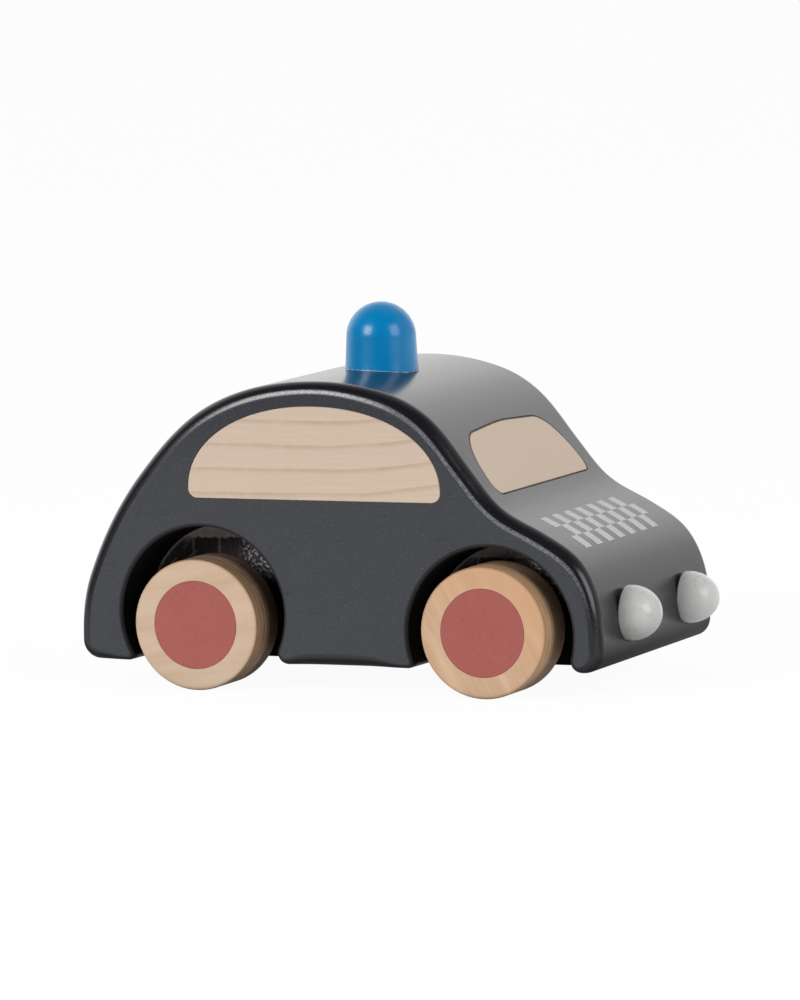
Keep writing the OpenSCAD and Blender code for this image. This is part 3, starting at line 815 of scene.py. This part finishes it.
def wheel_wood(name, cx, turn, move, warm):
    """Bare turned hardwood with the grain running across the wheel's face at an angle, and handling marks on the tread;
    painted shade and a painted highlight on the tread, and painted warm light on the upper front of the face.
    """
    k = Mat(name)
    x, y, z = k.xyz()
    ay = k.math("ABSOLUTE", y)
    dx, dz = k.math("SUBTRACT", x, cx), k.math("SUBTRACT", z, AXLE_Z)
    r = k.math("SQRT", k.math("ADD", k.math("MULTIPLY", dx, dx), k.math("MULTIPLY", dz, dz)))
    g = k.at((1, 1, 1), move=move, turn=(0, turn, 0))
    fibre = k.noise(k.at((0.07, 0.9, 1.7), src=g), 1.0, 4.0, 0.6)
    wide = k.noise(k.at((0.035, 0.25, 0.30), src=g), 1.0, 2.0, 0.5)
    strokes = k.noise(k.at((0.055, 0.4, 0.62), src=g), 1.0, 2.0, 0.55)
    lo, hi = (0.530, 0.380, 0.262), (0.615, 0.466, 0.340)
    lo = tuple(a * (1 - warm) + b * warm for a, b in zip(lo, (0.548, 0.325, 0.187)))
    hi = tuple(a * (1 - warm) + b * warm for a, b in zip(hi, (0.655, 0.430, 0.268)))
    col = k.mix(k.band(wide, 0.3, 0.7, smooth=False), lo, hi)
    col = k.mix(k.math("MULTIPLY", k.band(strokes, 0.52, 0.66), 0.06 + 0.32 * warm), col, (0.47, 0.27, 0.14))
    col = k.mix(k.math("MULTIPLY", k.band(fibre, 0.56, 0.74), 0.13 + 0.17 * warm), col, (0.40, 0.25, 0.14))
    # Painted light: the upper front of the wheel face is tinted a warmer orange, as if lit.
    painted_light_side = k.band(k.math("ADD", dz, k.math("MULTIPLY", dx, 0.6)), -6.0, 14.0)
    col = k.mix(k.math("MULTIPLY", painted_light_side, 0.10 + 0.75 * warm), col, (0.62, 0.345, 0.175))
    speck = k.noise(k.at(move=(3, 1, 8)), 1.9, 2.0, 0.55)
    col = k.mix(k.math("MULTIPLY", k.band(speck, 0.70, 0.78), k.band(r, 13.0, 16.5, 0.1, 0.7)), col, (0.22, 0.12, 0.07))
    ring = k.math("MULTIPLY", k.band(r, 11.6, 11.75), k.band(r, 12.1, 11.85))
    col = k.mix(k.math("MULTIPLY", ring, 0.6), col, (0.62, 0.37, 0.31))
    tread = k.math("MULTIPLY", k.band(r, 15.6, 16.3), k.band(ay, 47.5, 47.1))
    turned_edge = k.math("MULTIPLY", k.math("MULTIPLY", k.band(ay, 46.85, 47.15), k.band(ay, 47.75, 47.45)), k.band(r, 16.2, 16.6))
    col = k.mix(k.math("MULTIPLY", turned_edge, 0.75), col, (0.34, 0.19, 0.09))
    shade = k.band(k.noise(k.at((0.25, 1.0, 0.25)), 1.0, 3.0, 0.6), 0.3, 0.7, -0.7, 0.7, False)
    deep = k.math("ADD", ay, shade)
    # Painted shade: the outer tread is painted a dark gold, lighter on the warmer wheels where more light reaches it.
    painted_tread_shade = k.band(deep, 40.8, 42.0)
    col = k.mix(k.math("MULTIPLY", k.math("MULTIPLY", tread, painted_tread_shade), 0.80), col, (0.27 + 0.56 * warm, 0.155 + 0.37 * warm, 0.075 + 0.22 * warm))
    # Painted highlight: a pale pinkish band across the tread where it catches light from above.
    painted_tread_highlight = k.math("MULTIPLY", k.band(deep, 38.0, 38.8), k.band(deep, 42.0, 41.0))
    col = k.mix(k.math("MULTIPLY", k.math("MULTIPLY", tread, painted_tread_highlight), 0.7), col, (0.42, 0.30, 0.24))
    # Painted shade: the part of the tread deep in the arch is painted dark brown.
    inside = k.math("MULTIPLY", tread, k.band(deep, 38.8, 38.0))
    col = k.mix(k.math("MULTIPLY", inside, 0.85), col, (0.17 + 0.56 * warm, 0.092 + 0.36 * warm, 0.048 + 0.24 * warm))
    marks = k.band(k.math("SINE", k.math("MULTIPLY", deep, 2.7)), 0.1, 0.9)
    col = k.mix(k.math("MULTIPLY", k.math("MULTIPLY", tread, marks), 0.50 - 0.28 * warm), col, (0.15, 0.085, 0.045))
    k.set(Base_Color=col, Roughness=k.band(fibre, 0.2, 0.8, 0.48, 0.62, False))
    k.b.inputs["Specular IOR Level"].default_value = 0.4
    k.set(Normal=k.bump(fibre, 0.6, 0.00005))
    return k.m


def hub_paint(name, move):
    k = Mat(name)
    g = k.at(move=move)
    fine = k.noise(k.at((2.4, 2.4, 1.0), src=g), 1.0, 3.0, 0.6)
    pits = k.voronoi(k.at((0.55, 0.55, 0.4), src=g), 1.0)
    wide = k.noise(g, 0.12, 2.0)
    col = k.mix(wide, (0.345, 0.086, 0.072), (0.392, 0.108, 0.092))
    col = k.mix(k.band(fine, 0.55, 0.72, 0, 0.45), col, (0.285, 0.075, 0.066))
    col = k.mix(k.band(pits, 0.22, 0.06, 0, 0.42), col, (0.22, 0.056, 0.050))
    k.set(Base_Color=col, Roughness=k.band(fine, 0.3, 0.7, 0.58, 0.70, False))
    k.b.inputs["Specular IOR Level"].default_value = 0.3
    k.set(Normal=k.bump(k.math("SUBTRACT", fine, k.band(pits, 0.16, 0.05, 0, 0.8)), 0.6, 0.00004))
    return k.m


def lamp_paint(name):
    k = Mat(name)
    wide = k.noise(k.p, 0.14, 2.0)
    fine = k.noise(k.at((1, 1, 0.5)), 1.4, 3.0, 0.55)
    col = k.mix(wide, (0.0004, 0.226, 0.550), (0.0009, 0.278, 0.626))
    col = k.mix(k.band(fine, 0.62, 0.8, 0, 0.3), col, (0.003, 0.31, 0.66))
    k.set(Base_Color=col, Roughness=k.band(fine, 0.3, 0.7, 0.22, 0.27, False))
    k.b.inputs["Specular IOR Level"].default_value = 0.43
    k.set(Normal=k.bump(k.math("ADD", fine, k.math("MULTIPLY", wide, 3.0)), 0.5, 0.00004))
    return k.m


def light_paint(name, painted_light_gain):
    k = Mat(name)
    rings = k.noise(k.at((4.0, 0.22, 0.22)), 1.0, 3.0, 0.6)
    blot = k.noise(k.p, 0.55, 3.0, 0.6)
    wide = k.noise(k.p, 0.25, 2.0)
    # The gain scales the whole colour, giving each headlight its own lighter copy of one paint: painted light.
    col = k.mix(wide, tuple(painted_light_gain * c for c in (0.57, 0.575, 0.555)), tuple(painted_light_gain * c for c in (0.66, 0.665, 0.645)))
    col = k.mix(k.band(blot, 0.52, 0.70, 0, 0.25), col, (0.46, 0.465, 0.455))
    col = k.mix(k.band(rings, 0.54, 0.72, 0, 0.28), col, (0.44, 0.445, 0.435))
    col = k.mix(k.band(rings, 0.44, 0.30, 0, 0.35), col, (0.74, 0.745, 0.73))
    k.set(Base_Color=col, Roughness=k.band(rings, 0.3, 0.7, 0.20, 0.30, False))
    k.set(Normal=k.bump(k.math("ADD", rings, k.math("MULTIPLY", blot, 0.8)), 0.4, 0.00004))
    return k.m


def dowel_wood(name, axis):
    k = Mat(name)
    sc = [1.3, 1.3, 1.3]
    sc[axis] = 0.08
    fibre = k.noise(k.at(tuple(sc)), 1.0, 4.0, 0.6)
    col = k.mix(k.band(fibre, 0.3, 0.7, smooth=False), (0.50, 0.34, 0.21), (0.64, 0.48, 0.34))
    k.set(Base_Color=col, Roughness=k.band(fibre, 0.2, 0.8, 0.5, 0.65, False))
    k.set(Normal=k.bump(fibre, 0.6, 0.00005))
    return k.m


def glue(name):
    k = Mat(name)
    fine = k.band(k.noise(k.p, 0.8, 3.0, 0.6), 0.40, 0.62)
    k.set(Base_Color=k.mix(fine, (0.10, 0.22, 0.34), (0.55, 0.63, 0.70)), Roughness=k.band(fine, 0.3, 0.7, 0.25, 0.4, False))
    return k.m


# ---------------------------------------------------------------- build
paint_side, paint_core = paint("lacquer_sides"), paint("lacquer_core", chequer=True)
arch_dark, edge_stain = arch_paint("arch_paint"), stain("inlay_edge")
wood_board, wood_block = window_wood("bare_board"), window_wood("bare_block", "block")
red_f, red_r = hub_paint("hub_red_front", (3, 0, 11)), hub_paint("hub_red_rear", (29, 5, 2))
core([paint_core, arch_dark])
for s in (1, -1):
    board(s, [paint_side, arch_dark])
    side_window(s, [wood_board])
screen("wood_windscreen", "windscreen", SCREEN, FRONT_AT, [wood_block, edge_stain])
screen("wood_rear_window", "rear_window", REAR, REAR_AT, [wood_block, edge_stain])
for x, end, red in ((FRONT_X, "front", red_f), (REAR_X, "rear", red_r)):
    for s, side in ((1, "left"), (-1, "right")):
        n = f"{end}_{side}"
        warm = {"front_right": 0.75, "rear_right": 0.05, "front_left": 0.35, "rear_left": 0.55}[n]
        turn = {"front_right": -62, "rear_right": 12, "front_left": 40, "rear_left": -25}[n]
        wm = wheel_wood(f"wheel_{n}", x, turn, (17.0 * s, 3, 9 * warm), warm)
        wheel(x, s, f"turned_wheel_{n}", f"wheel_{n}", f"{end}_wheelset", [wm])
        disc(x, s, f"red_disc_{n}", f"hub_disc_{n}", f"{end}_wheelset", [red])
lamp([lamp_paint("lamp_lacquer")])
for s in (1, -1):
    # The left headlight gets a lighter copy of the paint than the right: painted light.
    headlight(s, [light_paint("headlight_paint_l", 1.36) if s > 0 else light_paint("headlight_paint_r", 1.21)])
glue_line([glue("dried_glue")])

across, upright, along = dowel_wood("dowel_across", 1), dowel_wood("dowel_upright", 2), dowel_wood("dowel_along", 0)
for n, m in (("front_axle", across), ("rear_axle", across), ("lamp_dowel", upright),
             ("headlight_dowel_left", along), ("headlight_dowel_right", along)):
    nodes[n].data.materials.clear()
    nodes[n].data.materials.append(m)

# ---------------------------------------------------------------- stage, light and camera
# The floor is a pale sweep, lit from behind: it shows evenly white, and gives its light mostly from the far side.
FLOOR_LIGHT = (-0.10, 0.20, 0.0, 0.95)
NEAR_LIGHT = (-0.55, -0.09, 0.04, 0.88)
FLOOR_SEEN, FLOOR_ALBEDO = 0.95, 0.07
fl = mesh_from("floor", [(-30, -30, 0), (30, -30, 0), (30, 30, 0), (-30, 30, 0)], [(0, 1, 2, 3)])
floor = add("floor", fl)
fm = bpy.data.materials.new("pale_floor")
fm.use_nodes = True
ft = fm.node_tree
ft.nodes.clear()
fo, fe, fd, fadd = (ft.nodes.new(t) for t in ("ShaderNodeOutputMaterial", "ShaderNodeEmission", "ShaderNodeBsdfDiffuse", "ShaderNodeAddShader"))
flp, fpos, fsep = (ft.nodes.new(t) for t in ("ShaderNodeLightPath", "ShaderNodeTexCoord", "ShaderNodeSeparateXYZ"))
ft.links.new(fpos.outputs["Object"], fsep.inputs[0])


def floor_range(values):
    x = ft.nodes.new("ShaderNodeMapRange")
    x.interpolation_type = "SMOOTHSTEP"
    ft.links.new(fsep.outputs["Y"], x.inputs["Value"])
    for key, val in zip(("From Min", "From Max", "To Min", "To Max"), values):
        x.inputs[key].default_value = val
    return x.outputs["Result"]


def floor_math(op, a, b):
    x = ft.nodes.new("ShaderNodeMath")
    x.operation = op
    ft.links.new(a, x.inputs[0])
    ft.links.new(b, x.inputs[1])
    return x.outputs[0]


fnear = floor_math("MULTIPLY", floor_range(NEAR_LIGHT), floor_range((-0.056, -0.044, 1.0, 0.05)))
fglow = floor_math("ADD", floor_range(FLOOR_LIGHT), fnear)
fpick = ft.nodes.new("ShaderNodeMix")
fpick.data_type = "FLOAT"
ft.links.new(flp.outputs["Is Camera Ray"], fpick.inputs[0])
ft.links.new(fglow, fpick.inputs[2])
fpick.inputs[3].default_value = FLOOR_SEEN
ft.links.new(fpick.outputs[0], fe.inputs["Strength"])
fe.inputs["Color"].default_value = (1, 1, 1, 1)
fd.inputs["Color"].default_value = (FLOOR_ALBEDO, FLOOR_ALBEDO, FLOOR_ALBEDO, 1)
ft.links.new(fe.outputs[0], fadd.inputs[0])
ft.links.new(fd.outputs[0], fadd.inputs[1])
ft.links.new(fadd.outputs[0], fo.inputs[0])
fl.materials.append(fm)


def soft_box(name, az, el, dist, size, watts, aim=(0, 0, 0.04)):
    """A soft box of a given width and height, aimed at the car."""
    l = bpy.data.lights.new(name, "AREA")
    l.shape, l.size, l.size_y, l.energy = "RECTANGLE", *size, watts
    o = bpy.data.objects.new(name, l)
    scene.collection.objects.link(o)
    a, e = math.radians(az), math.radians(el)
    d = Vector((math.sin(a) * math.cos(e), -math.cos(a) * math.cos(e), math.sin(e)))
    o.location = Vector(aim) + d * dist
    o.rotation_euler = (-d).to_track_quat("-Z", "Y").to_euler()
    o.visible_camera = False
    return o


soft_box("key_light", -27, 23.5, 1.6, (0.66, 0.72), 15.8)
soft_box("fill_light", 70, 22, 1.8, (0.95, 1.05), 13)

world = bpy.data.worlds.new("studio")
scene.world = world
world.use_nodes = True
wt = world.node_tree
wt.nodes.clear()


def wn(kind, **kw):
    x = wt.nodes.new(kind)
    for key, val in kw.items():
        setattr(x, key, val)
    return x


wo, bg_see, bg_light, wmix, lp = (wn("ShaderNodeOutputWorld"), wn("ShaderNodeBackground"), wn("ShaderNodeBackground"),
                                  wn("ShaderNodeMixShader"), wn("ShaderNodeLightPath"))
wtc, wsep = wn("ShaderNodeTexCoord"), wn("ShaderNodeSeparateXYZ")
wt.links.new(wtc.outputs["Generated"], wsep.inputs[0])


def wrange(v, a, b, c, d):
    x = wn("ShaderNodeMapRange", interpolation_type="SMOOTHSTEP")
    wt.links.new(v, x.inputs["Value"])
    for key, val in zip(("From Min", "From Max", "To Min", "To Max"), (a, b, c, d)):
        x.inputs[key].default_value = val
    return x.outputs["Result"]


back = wrange(wsep.outputs["Y"], -0.30, 0.50, 0.05, 1.31)
high = wrange(wsep.outputs["Z"], 0.42, 0.98, 1.0, 0.30)
ahead = wrange(wsep.outputs["X"], 0.18, 0.40, 1.0, 0.50)
wm_ = wn("ShaderNodeMath", operation="MULTIPLY")
wt.links.new(back, wm_.inputs[0])
wt.links.new(high, wm_.inputs[1])
wa_ = wn("ShaderNodeMath", operation="MULTIPLY")
wt.links.new(wm_.outputs[0], wa_.inputs[0])
wt.links.new(ahead, wa_.inputs[1])
wt.links.new(wa_.outputs[0], bg_light.inputs["Strength"])
bg_light.inputs["Color"].default_value = (1, 1, 1, 1)
bg_see.inputs["Color"].default_value = (1, 1, 1, 1)
bg_see.inputs["Strength"].default_value = 0.97
wt.links.new(lp.outputs["Is Camera Ray"], wmix.inputs[0])
wt.links.new(bg_light.outputs[0], wmix.inputs[1])
wt.links.new(bg_see.outputs[0], wmix.inputs[2])
wt.links.new(wmix.outputs[0], wo.inputs[0])

AZ, EL, ROLL, DIST = math.radians(21.873), math.radians(6.072), math.radians(-1.094), 2.3385
target = Vector((-0.003377, 0, 0.046571))
backv = Vector((math.sin(AZ) * math.cos(EL), -math.cos(AZ) * math.cos(EL), math.sin(EL)))
right = (-backv).cross(Vector((0, 0, 1))).normalized()
up = right.cross(-backv)
r2 = right * math.cos(ROLL) + up * math.sin(ROLL)
u2 = -right * math.sin(ROLL) + up * math.cos(ROLL)
cam = bpy.data.cameras.new("camera")
cam.sensor_fit, cam.sensor_width, cam.lens = "AUTO", 36.0, 8732.25 * 36.0 / 1000.0
cam.clip_start, cam.clip_end = 0.05, 100.0
co = bpy.data.objects.new("camera", cam)
scene.collection.objects.link(co)
m3 = Matrix((r2, u2, backv)).transposed()
co.matrix_world = Matrix.Translation(target + backv * DIST) @ m3.to_4x4()
scene.camera = co

scene.view_settings.view_transform = "Standard"
scene.view_settings.look = "None"
